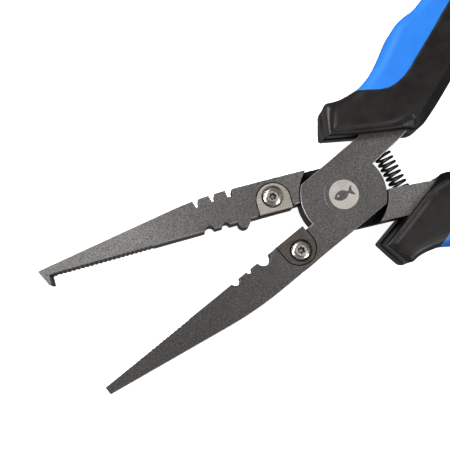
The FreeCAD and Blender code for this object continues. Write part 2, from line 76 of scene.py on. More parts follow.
# The handle's outline, drawn for the front lever with the jaws closed, as in the CAD, and then turned open.
GUARD_NOSE = (6.6, 15.6)
GUARD_PEAK = (11.6, 23.2)
HANDLE_INNER = [(25.6, 2.75), (27.2, 1.5), (30.0, 1.2), (35.5, 2.6), (45.5, 6.0), (58.0, 10.4),
                (70.0, 13.4), (82.0, 14.5), (94.0, 14.0), (106.0, 12.6), (117.0, 11.6)]
HEEL = [(120.9, 13.0), (123.4, 17.2), (121.9, 21.0)]
HANDLE_OUTER = [(117.5, 23.1), (110.0, 25.4), (100.0, 28.3), (90.0, 30.8), (81.0, 32.3), (73.0, 32.8),
                (66.0, 32.2), (60.0, 30.9), (54.5, 29.3), (50.0, 28.35), (46.5, 28.4), (43.0, 28.0),
                (40.0, 26.8), (36.0, 24.7), (33.0, 23.3), (28.0, 21.5), (23.0, 20.5), (20.0, 20.65),
                (16.5, 21.15), (14.4, 21.8)]
GRIP_LINE = [(20.4, 21.3), (21.4, 20.2), (25.0, 17.0), (28.0, 15.2), (31.0, 14.6), (35.0, 15.0),
             (41.0, 17.0), (49.0, 19.8), (58.0, 23.1), (68.0, 25.7), (78.0, 26.4), (88.0, 25.3),
             (98.0, 23.0), (104.0, 22.0), (109.0, 22.8), (113.0, 25.4), (114.5, 27.5)]
BEYOND_GRIP = [(118.0, 45.0), (15.0, 45.0)]  # outside the handle: they close the grip's region
LANYARD = (117.0, 17.3)
LANYARD_RADIUS = 2.25
LANYARD_ROUNDING = 0.6
NOSE_ROUNDING = 0.6
PEAK_ROUNDING = 2.0
OUTLINE_STEP = 0.55

# A handle edge's five sizes: the radius of a round edge, the width and the drop of a bevel, the depth of the
# groove along the rim, and the depth of the channel along the wall.
OUTER_EDGE = (2.9, 0.0, 0.0, 0.0, 0.0)
INNER_EDGE = (0.5, 3.1, 2.8, 0.12, 0.0)
GUARD_EDGE = (0.75, 0.0, 0.0, 0.28, 0.9)
EDGE_BLEND = 13  # outline points each way over which one edge turns into the next
RIM_GROOVE_INSET = 0.75
RIM_GROOVE_WIDTH = 0.5
CHANNEL_HALF_WIDTH = 1.7
CHANNEL_STEEPNESS = 1.35
WALL_DRAFT = 0.12
GRIP_GAP = 0.32  # radius of the rounding on each side of the line between body and grip
PEAK_GAP = 0.3  # left between the outer run's last point and the peak's rounding

# How much nearer the middle line the guard's front is at the top face, and as much farther at the back face.
# It fades to nothing at LEAN_LIMIT, in x and in y, over the lengths in LEAN_FADE.
GUARD_LEAN = 0.75
LEAN_LIMIT = (25.6, 21.5)
LEAN_FADE = (12.0, 4.5)

# Where the handle's mesh has its points: insets from the outline, distances from the lanyard hole and from
# the grip line, a grid inside them, and the walls' heights as shares of the edge's height.
OUTLINE_INSETS = (0.06, 0.2, 0.42, 0.75, 1.1, 1.5, 1.95, 2.4, 2.95, 3.7)
LINE_INSETS = (0.08, 0.22, 0.45, 0.8)
LANYARD_POINTS = 40
GRID_STEP = 1.4
GRID_INSET = 3.9
WALL_LEVELS = (0.78, 0.55, 0.4, 0.3, 0.2, 0.08, 0.0, -0.08, -0.2, -0.3, -0.4, -0.55, -0.78)

# The spring's wire radius, its turns, the pitch where it is closed up, and the angle where the wire starts.
SPRING_WIRE = 0.4
SPRING_OPEN_TURNS = 8.6
SPRING_CLOSED_TURNS = 1.25
SPRING_CLOSED_PITCH = 2 * SPRING_WIRE * 1.04
SPRING_START = 5.84
SPRING_STEPS = 26
SPRING_SIDES = 12

# The badge on the hub, and the fish and its eye in the badge.
MARK_RADIUS = 4.1
MARK_PROUD = 0.04
MARK_DEPTH = 0.3
FISH = [(-2.9, 0.0), (-2.2, 0.85), (-0.9, 1.35), (0.5, 1.05), (1.45, 0.35), (2.1, 1.05), (2.9, 1.45),
        (2.55, 0.0), (2.9, -1.45), (2.1, -1.05), (1.45, -0.35), (0.5, -1.05), (-0.9, -1.35), (-2.2, -0.85)]
FISH_EYE = (-1.6, 0.3)
FISH_EYE_RADIUS = 0.3

# Places on the steel where its materials paint shade. The lap's band of painted shade runs along the jaws'
# sides too.
LAP = (MIDDLE, 1.2)  # height of the cut face between the levers, and the painted shade's reach above and below
HUB_WALL = (14.0, 14.6)  # distances from the pivot over which the painted shade on the walls round it fades out
SEAT_RADIUS = 6.2
# Colours of the painted shade in the lap between the levers and on the walls round the hub.
LAP_PAINTED_SHADE = (0.004, 0.004, 0.004)
HUB_WALL_PAINTED_SHADE = (0.006, 0.006, 0.006)
# Colour of the painted shade on the walls in the blades' seats.
SEAT_PAINTED_SHADE = (0.002, 0.002, 0.002)
SCREW_DRIVE_RADIUS = 1.1
SCREW_DRIVE_RIM = (0.08, 0.02)  # depths below the top over which the drive's painted shade fades out
SCREW_DRIVE_MIDDLE = (0.3, 0.6)  # radii over which the drive's painted highlight in the middle turns to painted shade
SCREW_RING = (1.45, 1.6, 1.8, 1.95)  # radii of the dark ring: start, full, full, end
SCREW_FOOT = (1.45, 0.85)  # depths below the top over which the painted shade round the head's foot fades out


# ---------------------------------------------------------------- materials

class Nodes:
    """A material and its node tree, with short ways to add and join nodes."""

    def __init__(self, name):
        self.material = bpy.data.materials.new(name)
        self.material.use_nodes = True
        self.tree = self.material.node_tree
        self.tree.nodes.clear()
        self.shader = self.add("ShaderNodeBsdfPrincipled")
        output = self.add("ShaderNodeOutputMaterial")
        self.tree.links.new(self.shader.outputs["BSDF"], output.inputs["Surface"])
        self.place = self.add("ShaderNodeTexCoord").outputs["Object"]

    def add(self, kind, **settings):
        node = self.tree.nodes.new(kind)
        for name, value in settings.items():
            setattr(node, name, value)
        return node

    def plug(self, socket, value):
        """Joins a node's output to the socket, or sets the socket to a plain value."""
        if isinstance(value, bpy.types.NodeSocket):
            self.tree.links.new(value, socket)
        elif value is not None:
            socket.default_value = value

    def math(self, operation, first, second=None):
        node = self.add("ShaderNodeMath", operation=operation)
        self.plug(node.inputs[0], first)
        self.plug(node.inputs[1], second)
        return node.outputs[0]

    def noise(self, size, detail=3.0, roughness=0.55, stretch=None):
        """Noise whose features are about size millimetres across."""
        place = self.place
        if stretch is not None:
            mapping = self.add("ShaderNodeMapping")
            mapping.inputs["Scale"].default_value = stretch
            self.plug(mapping.inputs["Vector"], place)
            place = mapping.outputs[0]
        node = self.add("ShaderNodeTexNoise")
        self.plug(node.inputs["Vector"], place)
        node.inputs["Scale"].default_value = 1.0 / (size * MM)
        node.inputs["Detail"].default_value = detail
        node.inputs["Roughness"].default_value = roughness
        return node.outputs["Fac"]

    def span(self, value, low, high, to_low=0.0, to_high=1.0, straight=False):
        """Maps value from low..high to to_low..to_high, held at the ends."""
        node = self.add("ShaderNodeMapRange", interpolation_type="LINEAR" if straight else "SMOOTHSTEP")
        self.plug(node.inputs["Value"], value)
        limits = {"From Min": low, "From Max": high, "To Min": to_low, "To Max": to_high}
        for name, number in limits.items():
            node.inputs[name].default_value = number
        return node.outputs["Result"]

    def mix(self, share, first, second, blend="MIX"):
        node = self.add("ShaderNodeMix", data_type="RGBA", blend_type=blend)
        self.plug(node.inputs["Factor"], share)
        for socket, colour in ((node.inputs["A"], first), (node.inputs["B"], second)):
            self.plug(socket, colour if isinstance(colour, bpy.types.NodeSocket) else (*colour, 1.0))
        return node.outputs["Result"]

    def edges(self, radius):
        """Near 1 within radius millimetres of a sharp edge, 0 on open surface."""
        bevel = self.add("ShaderNodeBevel", samples=6)
        bevel.inputs["Radius"].default_value = radius * MM
        dot = self.add("ShaderNodeVectorMath", operation="DOT_PRODUCT")
        self.plug(dot.inputs[0], bevel.outputs[0])
        self.plug(dot.inputs[1], self.add("ShaderNodeNewGeometry").outputs["True Normal"])
        return self.span(dot.outputs["Value"], 0.99, 0.86)

    def bump(self, height, depth, strength):
        node = self.add("ShaderNodeBump")
        node.inputs["Strength"].default_value = strength
        node.inputs["Distance"].default_value = depth * MM
        self.plug(node.inputs["Height"], height)
        self.plug(self.shader.inputs["Normal"], node.outputs["Normal"])

    def finish(self, colour, roughness, metallic=0.0, **plain):
        self.plug(self.shader.inputs["Base Color"], colour)
        self.plug(self.shader.inputs["Roughness"], roughness)
        self.shader.inputs["Metallic"].default_value = metallic
        for name, value in plain.items():
            self.shader.inputs[name.replace("_", " ")].default_value = value
        return self.material


def blasted_steel(name, dark, light, side, edge_highlight_colour, painted_light_steps, recess=None, seat=None):
    """Bead-blasted, blackened steel: fine speckle on the flat faces, darker cut sides, and a painted
    highlight on edges and chamfers.

    The (x, level) steps, with x in millimetres along the tool, paint light and shade along its length. The
    steel is painted black as shade within recess, a height and a reach above and below it, on the walls
    round the hub, and on the walls within seat, a blade's middle and a radius."""
    n = Nodes(name)
    speckle = n.noise(0.18, 1.0, 0.6)
    grain = n.noise(0.4, 2.0, 0.6)
    cloud = n.noise(14.0, 2.0, 0.5)
    fine = n.math("ADD", n.math("MULTIPLY", speckle, 0.75), n.math("MULTIPLY", grain, 0.25))
    face = n.mix(n.span(fine, 0.34, 0.66), dark, light)
    face = n.mix(n.span(cloud, 0.3, 0.7, 0.0, 0.22), face, [c * 0.8 for c in dark])
    place = n.add("ShaderNodeSeparateXYZ")
    n.plug(place.inputs[0], n.place)
    # Painted light and shade: the steel is made lighter or darker in steps along x, where the light falls on
    # it.
    painted_light_ramp = n.add("ShaderNodeValToRGB")
    low, high = painted_light_steps[0][0], painted_light_steps[-1][0]
    n.plug(painted_light_ramp.inputs["Fac"], n.span(place.outputs["X"], low * MM, high * MM, straight=True))
    marks = painted_light_ramp.color_ramp.elements
    for k, (x, level) in enumerate(painted_light_steps):
        mark = marks[k] if k < 2 else marks.new(1.0)
        mark.position = (x - low) / (high - low)
        mark.color = (level, level * 0.985, level * 0.97, 1.0)
    face = n.mix(1.0, face, painted_light_ramp.outputs["Color"], "MULTIPLY")
    facing = n.add("ShaderNodeSeparateXYZ")
    n.plug(facing.inputs[0], n.add("ShaderNodeNewGeometry").outputs["True Normal"])
    upright = n.math("ABSOLUTE", facing.outputs["Z"])
    flat = n.span(upright, 0.5, 0.95)
    colour = n.mix(flat, n.mix(fine, [c * 0.8 for c in side], [c * 1.25 for c in side]), face)
    # Painted highlight on the chamfers and along the flat faces' sharp edges.
    chamfer_highlight = n.math("MULTIPLY", n.span(upright, 0.3, 0.5), n.span(upright, 0.95, 0.9))
    edge_highlight = n.math("MAXIMUM", chamfer_highlight, n.math("MULTIPLY", n.math("MULTIPLY", n.edges(0.2), flat), 0.4))
    # Within the blade's seat the painted highlight is left out.
    if seat is not None:
        away = n.add("ShaderNodeVectorMath", operation="DISTANCE")
        n.plug(away.inputs[0], n.place)
        away.inputs[1].default_value = seat[0]
        near = n.span(away.outputs["Value"], seat[1] * MM, seat[1] * MM * 1.02, 1.0, 0.0)
        edge_highlight = n.math("MULTIPLY", edge_highlight, n.math("SUBTRACT", 1.0, near))
    colour = n.mix(n.math("MULTIPLY", edge_highlight, n.span(grain, 0.36, 0.6, 0.4, 0.8)), colour, edge_highlight_colour)
    if recess is not None:
        # Painted shade: the lap between the levers is painted near black.
        depth = n.math("ABSOLUTE", n.math("SUBTRACT", place.outputs["Z"], recess[0] * MM))
        colour = n.mix(n.span(depth, recess[1] * MM, recess[1] * MM * 1.1), LAP_PAINTED_SHADE, colour)
        # Painted shade on the walls round the hub, fading out away from the pivot.
        hub = n.add("ShaderNodeVectorMath", operation="LENGTH")
        n.plug(hub.inputs[0], n.place)
        hub_wall_shade_mask = n.span(hub.outputs["Value"], HUB_WALL[0] * MM, HUB_WALL[1] * MM, 1.0, 0.0)
        colour = n.mix(n.math("MULTIPLY", hub_wall_shade_mask, n.span(upright, 0.9, 0.5)), colour, HUB_WALL_PAINTED_SHADE)
    # Painted shade on the walls round the blade, in its seat.
    if seat is not None:
        colour = n.mix(n.math("MULTIPLY", near, n.span(upright, 0.9, 0.5)), colour, SEAT_PAINTED_SHADE)
    n.bump(n.math("ADD", speckle, n.math("MULTIPLY", grain, 0.8)), 0.05, 0.6)
    return n.finish(colour, n.span(fine, 0.34, 0.66, 0.56, 0.42), 0.75)


def ground_steel(name, dark, light, turn=0.0):
    """Blade steel with fine grinding lines along its length, soft stains and a faint painted highlight along
    sharp edges.
    """
    n = Nodes(name)
    mapping = n.add("ShaderNodeMapping")
    mapping.inputs["Rotation"].default_value = (0.0, 0.0, turn)
    n.plug(mapping.inputs["Vector"], n.place)
    n.place = mapping.outputs[0]
    lines = n.noise(0.25, 3.0, 0.7, (0.08, 1.0, 1.0))
    stain = n.noise(3.0, 3.0, 0.55)
    colour = n.mix(n.span(lines, 0.32, 0.7), dark, light)
    colour = n.mix(n.span(stain, 0.35, 0.75, 0.0, 0.4), colour, [c * 0.72 for c in dark])
    # Painted highlight along sharp edges.
    colour = n.mix(n.math("MULTIPLY", n.edges(0.18), 0.2), colour, [min(1.0, c * 1.35) for c in light])
    n.bump(lines, 0.012, 0.5)
    return n.finish(colour, n.span(stain, 0.3, 0.7, 0.34, 0.46), 0.85)


def bright_steel(name, centre, top, drive):
    """Polished screw steel with a dark ring, painted shade inside the drive with a painted highlight in its
    middle, and painted shade round the head's foot.

    centre is the screw's middle, top is the height of its head, and drive is the drive's radius."""
    n = Nodes(name)
    marks = n.noise(0.18, 3.0, 0.6)
    stain = n.noise(1.6, 2.0, 0.5)
    place = n.add("ShaderNodeSeparateXYZ")
    n.plug(place.inputs[0], n.place)
    level = n.add("ShaderNodeCombineXYZ")
    n.plug(level.inputs[0], place.outputs["X"])
    n.plug(level.inputs[1], place.outputs["Y"])
    away = n.add("ShaderNodeVectorMath", operation="DISTANCE")
    n.plug(away.inputs[0], level.outputs[0])
    away.inputs[1].default_value = (centre[0], centre[1], 0.0)
    radius = away.outputs["Value"]
    colour = n.mix(n.span(stain, 0.35, 0.7), (0.60, 0.545, 0.49), (0.88, 0.83, 0.775))
    start, full, fading, end = (size * MM for size in SCREW_RING)
    ring = n.math("MULTIPLY", n.span(radius, start, full), n.span(radius, end, fading))
    colour = n.mix(n.math("MULTIPLY", ring, 0.8), colour, (0.09, 0.078, 0.07))
    # Painted shade round the head's foot.
    foot_shade = n.span(place.outputs["Z"], (top - SCREW_FOOT[0]) * MM, (top - SCREW_FOOT[1]) * MM, 1.0, 0.0)
    colour = n.mix(n.math("MULTIPLY", foot_shade, 0.9), colour, (0.05, 0.045, 0.04))
    # Painted shade inside the drive, with a painted highlight in its middle.
    deep, shallow = ((top - depth) * MM for depth in SCREW_DRIVE_RIM)
    drive_shade = n.math("MULTIPLY", n.span(radius, drive * MM, drive * 1.04 * MM, 1.0, 0.0),
                    n.span(place.outputs["Z"], deep, shallow, 1.0, 0.0))
    middle, rim = (size * MM for size in SCREW_DRIVE_MIDDLE)
    drive_light_and_shade = n.mix(n.span(radius, middle, rim), (0.55, 0.49, 0.44), (0.06, 0.048, 0.042))
    colour = n.mix(drive_shade, colour, drive_light_and_shade)
    n.bump(marks, 0.01, 0.5)
    return n.finish(colour, n.span(marks, 0.3, 0.7, 0.2, 0.32), 1.0)


def black_wire(name):
    """Black oxide spring wire with drawn-wire grain."""
    n = Nodes(name)
    grain = n.noise(0.3, 3.0, 0.6)
    colour = n.mix(n.span(grain, 0.3, 0.72), (0.004, 0.004, 0.0045), (0.018, 0.018, 0.019))
    n.bump(grain, 0.01, 0.5)
    return n.finish(colour, n.span(grain, 0.3, 0.7, 0.34, 0.5), 0.5)


def moulded(name, dark, light, rim_highlight_colour, roughness, grain_depth, inner=None, **plain):
    """Moulded handle plastic or rubber: fine moulded grain, soft mottling and a mottled painted highlight
    along the edges.

    inner is the colour of painted shade on the walls that face the tool's middle line, y = 0."""
    n = Nodes(name)
    grain = n.noise(0.35, 2.0, 0.6)
    mottle = n.noise(5.0, 3.0, 0.6)
    cloud = n.noise(22.0, 2.0, 0.5)
    blend = n.math("ADD", n.math("MULTIPLY", mottle, 0.55), n.math("MULTIPLY", cloud, 0.45))
    colour = n.mix(n.span(blend, 0.32, 0.68), dark, light)
    colour = n.mix(n.span(grain, 0.45, 0.8, 0.0, 0.25), colour, [c * 0.78 for c in dark])
    # Painted highlight along the edges, broken up by the mottling.
    rim_highlight = n.math("MULTIPLY", n.edges(0.7), n.span(mottle, 0.35, 0.65, 0.2, 0.75))
    colour = n.mix(rim_highlight, colour, rim_highlight_colour)
    # Painted shade on the walls that face the tool's middle line.
    if inner is not None:
        facing = n.add("ShaderNodeSeparateXYZ")
        n.plug(facing.inputs[0], n.add("ShaderNodeNewGeometry").outputs["True Normal"])
        place = n.add("ShaderNodeSeparateXYZ")
        n.plug(place.inputs[0], n.place)
        outwards = n.math("MULTIPLY", facing.outputs["Y"], n.math("SIGN", place.outputs["Y"]))
        colour = n.mix(n.span(outwards, -0.35, -0.7), colour, inner)
    n.bump(n.math("ADD", grain, n.math("MULTIPLY", mottle, 0.5)), grain_depth, 0.7)
    return n.finish(colour, n.span(mottle, 0.3, 0.7, roughness - 0.05, roughness + 0.06), 0.0, **plain)


# ---------------------------------------------------------------- outlines

def smooth_line(points, step, closed=False):
    """Points about step apart on a smooth curve through the given ones (centripetal Catmull-Rom)."""
    knots = [Vector(p) for p in points]
    count = len(knots)
    if closed:
        knots = [knots[-1], *knots, knots[0], knots[1]]
    else:
        knots = [knots[0] * 2 - knots[1], *knots, knots[-1] * 2 - knots[-2]]
        count -= 1
    line = []
    for k in range(count):
        a, b, c, d = knots[k:k + 4]
        tb = (b - a).length ** 0.5
        tc = tb + (c - b).length ** 0.5
        td = tc + (d - c).length ** 0.5
        parts = max(1, round((c - b).length / step))
        for i in range(parts):
            t = tb + (tc - tb) * i / parts
            p = a * ((tb - t) / tb) + b * (t / tb)
            q = b * ((tc - t) / (tc - tb)) + c * ((t - tb) / (tc - tb))
            r = c * ((td - t) / (td - tc)) + d * ((t - tc) / (td - tc))
            p = p * ((tc - t) / tc) + q * (t / tc)
            q = q * ((td - t) / (td - tb)) + r * ((t - tb) / (td - tb))
            line.append(p * ((tc - t) / (tc - tb)) + q * ((t - tb) / (tc - tb)))
    if not closed:
        line.append(knots[-2])
    return np.array([tuple(p) for p in line])


def straight(start, end, step):
    parts = max(1, round(math.dist(start, end) / step))
    return np.array([[a + (b - a) * i / parts for a, b in zip(start, end)] for i in range(parts + 1)])


def circle(centre, radius, count):
    turns = np.arange(count) * 2 * math.pi / count
    return np.stack([centre[0] + radius * np.cos(turns), centre[1] + radius * np.sin(turns)], 1)


def round_corner(before, corner, after, radius, count=6):
    """Arc that rounds a corner between two straight directions."""
    corner = np.array(corner, float)
    u = np.array(before, float) - corner
    v = np.array(after, float) - corner
    u /= np.linalg.norm(u)
    v /= np.linalg.norm(v)
    half = math.acos(max(-1.0, min(1.0, float(u @ v)))) / 2
    centre = corner + (u + v) / np.linalg.norm(u + v) * radius / math.sin(half)
    first = corner + u * radius / math.tan(half) - centre
    last = corner + v * radius / math.tan(half) - centre
    start = math.atan2(first[1], first[0])
    sweep = (math.atan2(last[1], last[0]) - start + math.pi) % (2 * math.pi) - math.pi
    turns = start + sweep * np.arange(count + 1) / count
    return centre + radius * np.stack([np.cos(turns), np.sin(turns)], 1)


def to_line(points, line, closed):
    """Distance from each point to a polyline, and the index of the nearest of its points."""
    a = line
    b = np.roll(line, -1, 0)
    if not closed:
        a, b = a[:-1], b[:-1]
    along = b - a
    length = np.maximum((along ** 2).sum(1), 1e-12)
    best = np.full(len(points), 1e9)
    near = np.zeros(len(points), int)
    for start in range(0, len(points), 2000):
        p = points[start:start + 2000]
        t = np.clip(((p[:, None] - a) * along).sum(2) / length, 0, 1)
        gap = np.linalg.norm(p[:, None] - (a + t[..., None] * along), axis=2)
        k = gap.argmin(1)
        best[start:start + 2000] = gap[np.arange(len(p)), k]
        near[start:start + 2000] = (k + (t[np.arange(len(p)), k] > 0.5)) % len(line)
    return best, near


def inside(points, loop):
    """Whether each point is inside a closed loop."""
    x, y = points[:, 0][:, None], points[:, 1][:, None]
    a, b = loop, np.roll(loop, -1, 0)
    crosses = (a[:, 1] > y) != (b[:, 1] > y)
    rise = np.where(np.abs(b[:, 1] - a[:, 1]) < 1e-12, 1e-12, b[:, 1] - a[:, 1])
    at = a[:, 0] + (y - a[:, 1]) * (b[:, 0] - a[:, 0]) / rise
    return (crosses & (x < at)).sum(1) % 2 == 1


def inward(loop):
    """Unit normals that point into a loop drawn anticlockwise."""
    along = np.roll(loop, -1, 0) - np.roll(loop, 1, 0)
    along /= np.linalg.norm(along, axis=1)[:, None]
    return np.stack([-along[:, 1], along[:, 0]], 1)


def handle_outline():
    """The handle's loop, anticlockwise, and for each of its points the edge's five sizes."""
    inner = smooth_line(HANDLE_INNER, OUTLINE_STEP)
    heel = smooth_line([HANDLE_INNER[-1], *HEEL, HANDLE_OUTER[0]], OUTLINE_STEP)
    outer = smooth_line(HANDLE_OUTER, OUTLINE_STEP)
    nose = round_corner(GUARD_PEAK, GUARD_NOSE, HANDLE_INNER[0], NOSE_ROUNDING)
    peak = round_corner(HANDLE_OUTER[-1], GUARD_PEAK, GUARD_NOSE, PEAK_ROUNDING)
    front = straight(nose[-1], HANDLE_INNER[0], OUTLINE_STEP)
    face = straight(peak[-1], nose[0], OUTLINE_STEP)
    keep = outer[outer[:, 0] > peak[0][0] + PEAK_GAP]
    runs = [(front[:-1], GUARD_EDGE), (inner[:-1], INNER_EDGE), (heel[:-1], OUTER_EDGE),
            (keep, OUTER_EDGE), (peak, OUTER_EDGE), (face[1:-1], GUARD_EDGE), (nose[:-1], GUARD_EDGE)]
    loop = np.concatenate([run for run, _ in runs])
    sizes = np.concatenate([np.tile(edge, (len(run), 1)) for run, edge in runs])
    kernel = np.hanning(2 * EDGE_BLEND + 1)[1:-1]
    kernel /= kernel.sum()
    reach = len(kernel)
    padded = np.concatenate([sizes[-reach:], sizes, sizes[:reach]])
    soft = [np.convolve(column, kernel, "same")[reach:-reach] for column in padded.T]
    return loop, np.stack(soft, 1)


def place_front(x, y, z):
    """From the closed drawing to the open front handle, in metres."""
    lean = (np.clip((LEAN_LIMIT[0] - x) / LEAN_FADE[0], 0, 1)
            * np.clip((LEAN_LIMIT[1] - y) / LEAN_FADE[1], 0, 1))
    y = y - GUARD_LEAN * lean * z / HALF_THICKNESS
    c, s = math.cos(HALF_OPENING), math.sin(HALF_OPENING)
    return np.stack([c * x - s * y, s * x + c * y, MIDDLE + z], 1) * MM


def place_rear(x, y, z):
    """The same turned over for the rear handle."""
    p = place_front(x, y, z)
    p[:, 1] *= -1
    p[:, 2] = 2 * MIDDLE * MM - p[:, 2]
    return p


# ---------------------------------------------------------------- meshes

def make_object(name, verts, faces, material, sharp=30.0):
    mesh = bpy.data.meshes.new(name)
    mesh.from_pydata([tuple(v) for v in verts], [], faces)
    work = bmesh.new()
    work.from_mesh(mesh)
    bmesh.ops.recalc_face_normals(work, faces=work.faces)
    work.to_mesh(mesh)
    work.free()
    mesh.shade_smooth()
    mesh.set_sharp_from_angle(angle=math.radians(sharp))
    mesh.materials.append(material)
    made = bpy.data.objects.new(name, mesh)
    bpy.context.scene.collection.objects.link(made)
    return made


def triangulate(loops, chains, points):
    """Delaunay triangles over all the points, with the loops and chains kept as edges."""
    verts = []
    edges = []
    for line, closed in [(loop, True) for loop in loops] + [(chain, False) for chain in chains]:
        base = len(verts)
        verts += [Vector(p) for p in line]
        edges += [(base + i, base + i + 1) for i in range(len(line) - 1)]
        if closed:
            edges.append((base + len(line) - 1, base))
    verts += [Vector(p) for p in points]
    out, _, faces, *_ = delaunay_2d_cdt(verts, edges, [], 0, 1e-5)
    return np.array([tuple(v) for v in out]), np.array([tuple(f) for f in faces])


def round_edge(gap, radius):
    """Drop of a quarter-round edge at a distance gap from it."""
    held = np.clip(radius - gap, 0, radius)
    return radius - np.sqrt(np.maximum(radius ** 2 - held ** 2, 0))


def border_edges(faces):
    """Directed edges on the border of a set of triangles, with the face on the left."""
    seen = {}
    for f in faces:
        for i in range(3):
            seen[(f[i], f[(i + 1) % 3])] = True
    return [e for e in seen if (e[1], e[0]) not in seen]


def handle_parts():
    """Triangles of the handle seen from above, split into body and grip, with heights and wall offsets."""
    loop, sizes = handle_outline()
    normals = inward(loop)
    grip = smooth_line(GRIP_LINE, OUTLINE_STEP)
    along = np.gradient(grip, axis=0)
    along /= np.linalg.norm(along, axis=1)[:, None]
    across = np.stack([-along[:, 1], along[:, 0]], 1)
    hole = circle(LANYARD, LANYARD_RADIUS, LANYARD_POINTS)
    points = []
    for inset in OUTLINE_INSETS:
        ring = loop + normals * inset
        gap, _ = to_line(ring, loop, True)
        points.append(ring[gap > inset * 0.96])
    for inset in LINE_INSETS:
        points.append(circle(LANYARD, LANYARD_RADIUS + inset, LANYARD_POINTS))
        points += [grip - inset * across, grip + inset * across]
    columns, rows = (np.arange(low, high, GRID_STEP) for low, high in zip(loop.min(0), loop.max(0)))
    grid = np.stack(np.meshgrid(columns, rows), 2).reshape(-1, 2)
    gap, _ = to_line(grid, loop, True)
    points.append(grid[gap > GRID_INSET])
    points = np.concatenate(points)
    points = points[inside(points, loop) & ~inside(points, hole)]
    verts, faces = triangulate([loop, hole], [grip], points)
    middle = verts[faces].mean(1)
    faces = faces[inside(middle, loop) & ~inside(middle, hole)]
    edge_gap, near = to_line(verts, loop, True)
    radius, width, drop, rim, channel = sizes[near].T
    hole_gap = np.maximum(np.linalg.norm(verts - LANYARD, axis=1) - LANYARD_RADIUS, 0)
    grip_gap, _ = to_line(verts, grip, False)
    bevel = drop * np.clip(1 - edge_gap / np.maximum(width, 1e-6), 0, 1)
    groove = rim * np.exp(-((edge_gap - width - radius - RIM_GROOVE_INSET) / RIM_GROOVE_WIDTH) ** 2)
    fall = round_edge(edge_gap, radius) + bevel + groove
    fall = np.maximum(fall, round_edge(hole_gap, LANYARD_ROUNDING))
    fall = np.maximum(fall, round_edge(grip_gap, GRIP_GAP))
    push = np.where((edge_gap < 1e-3)[:, None], normals[near], 0.0)
    blue = inside(verts[faces].mean(1), np.concatenate([grip, BEYOND_GRIP]))
    return verts, HALF_THICKNESS - fall, push, channel, faces[~blue], faces[blue]


def handle_mesh(name, place, parts, faces, material):
    """One moulded piece of a handle: the face, its twin on the back, and the walls between them."""
    flat, heights, push, channel, *_ = parts
    used = np.unique(faces)
    index = {v: i for i, v in enumerate(used)}
    rows = [(flat[used, 0], flat[used, 1], heights[used]), (flat[used, 0], flat[used, 1], -heights[used])]
    count = len(used)
    out = [[index[a], index[b], index[c]] for a, b, c in faces]
    out += [[index[c] + count, index[b] + count, index[a] + count] for a, b, c in faces]
    border = border_edges(faces.tolist())
    rim = sorted({v for edge in border for v in edge})
    column = {v: k for k, v in enumerate(rim)}
    ends = np.array(rim)
    for level in WALL_LEVELS:
        z = heights[ends] * level
        depth = channel[ends] * np.clip(CHANNEL_STEEPNESS * (1 - np.abs(z) / CHANNEL_HALF_WIDTH), 0, 1)
        depth += WALL_DRAFT * np.abs(level)
        moved = flat[ends] + push[ends] * depth[:, None]
        rows.append((moved[:, 0], moved[:, 1], z))

    def at(v, level):
        """Index of vertex v's point on a wall level; -1 is the face, and past the last level is its twin."""
        if level < 0:
            return index[v]
        if level == len(WALL_LEVELS):
            return index[v] + count
        return 2 * count + level * len(rim) + column[v]

    for a, b in border:
        for level in range(-1, len(WALL_LEVELS)):
            out.append([at(b, level), at(a, level), at(a, level + 1), at(b, level + 1)])
    points = np.concatenate([place(*row) for row in rows])
    return make_object(name, points, out, material)


def spring_mesh(name, material):
    """Return spring: a wire helix along Y whose ends close up, as wide as the CAD's."""
    low, high = (np.array(corner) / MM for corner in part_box("return_spring"))
    radius = (high[0] - low[0]) / 2 - SPRING_WIRE
    centre = (low + high) / 2
    turns = SPRING_OPEN_TURNS + 2 * SPRING_CLOSED_TURNS
    steps = int(turns * SPRING_STEPS)
    t = np.linspace(0, turns, steps + 1)
    length = high[1] - low[1] - 2 * SPRING_WIRE
    open_pitch = (length - 2 * SPRING_CLOSED_TURNS * SPRING_CLOSED_PITCH) / SPRING_OPEN_TURNS
    at_ends = (t < SPRING_CLOSED_TURNS) | (t > turns - SPRING_CLOSED_TURNS)
    rise = np.where(at_ends, SPRING_CLOSED_PITCH, open_pitch)
    climb = np.concatenate([[0], np.cumsum((rise[1:] + rise[:-1]) / 2 * np.diff(t))])
    climb *= length / climb[-1]
    angle = 2 * math.pi * t + SPRING_START
    line = np.stack([centre[0] + radius * np.cos(angle), high[1] - SPRING_WIRE - climb,
                     centre[2] + radius * np.sin(angle)], 1)
    along = np.gradient(line, axis=0)
    along /= np.linalg.norm(along, axis=1)[:, None]
    out = np.stack([np.cos(angle), 0 * angle, np.sin(angle)], 1)
    out -= along * (out * along).sum(1)[:, None]
    out /= np.linalg.norm(out, axis=1)[:, None]
    side = np.cross(along, out)
    rows = []
    for k in range(SPRING_SIDES):
        a = 2 * math.pi * k / SPRING_SIDES
        rows.append(line + SPRING_WIRE * (math.cos(a) * out + math.sin(a) * side))
    points = np.stack(rows, 1).reshape(-1, 3) * MM
    faces = []
    for i in range(steps):
        ring, next_ring = i * SPRING_SIDES, (i + 1) * SPRING_SIDES
        for k in range(SPRING_SIDES):
            after = (k + 1) % SPRING_SIDES
            faces.append([ring + k, ring + after, next_ring + after, next_ring + k])
    faces.append(list(range(SPRING_SIDES)))
    faces.append([steps * SPRING_SIDES + k for k in range(SPRING_SIDES)])
    return make_object(name, points, faces, material, 50.0)


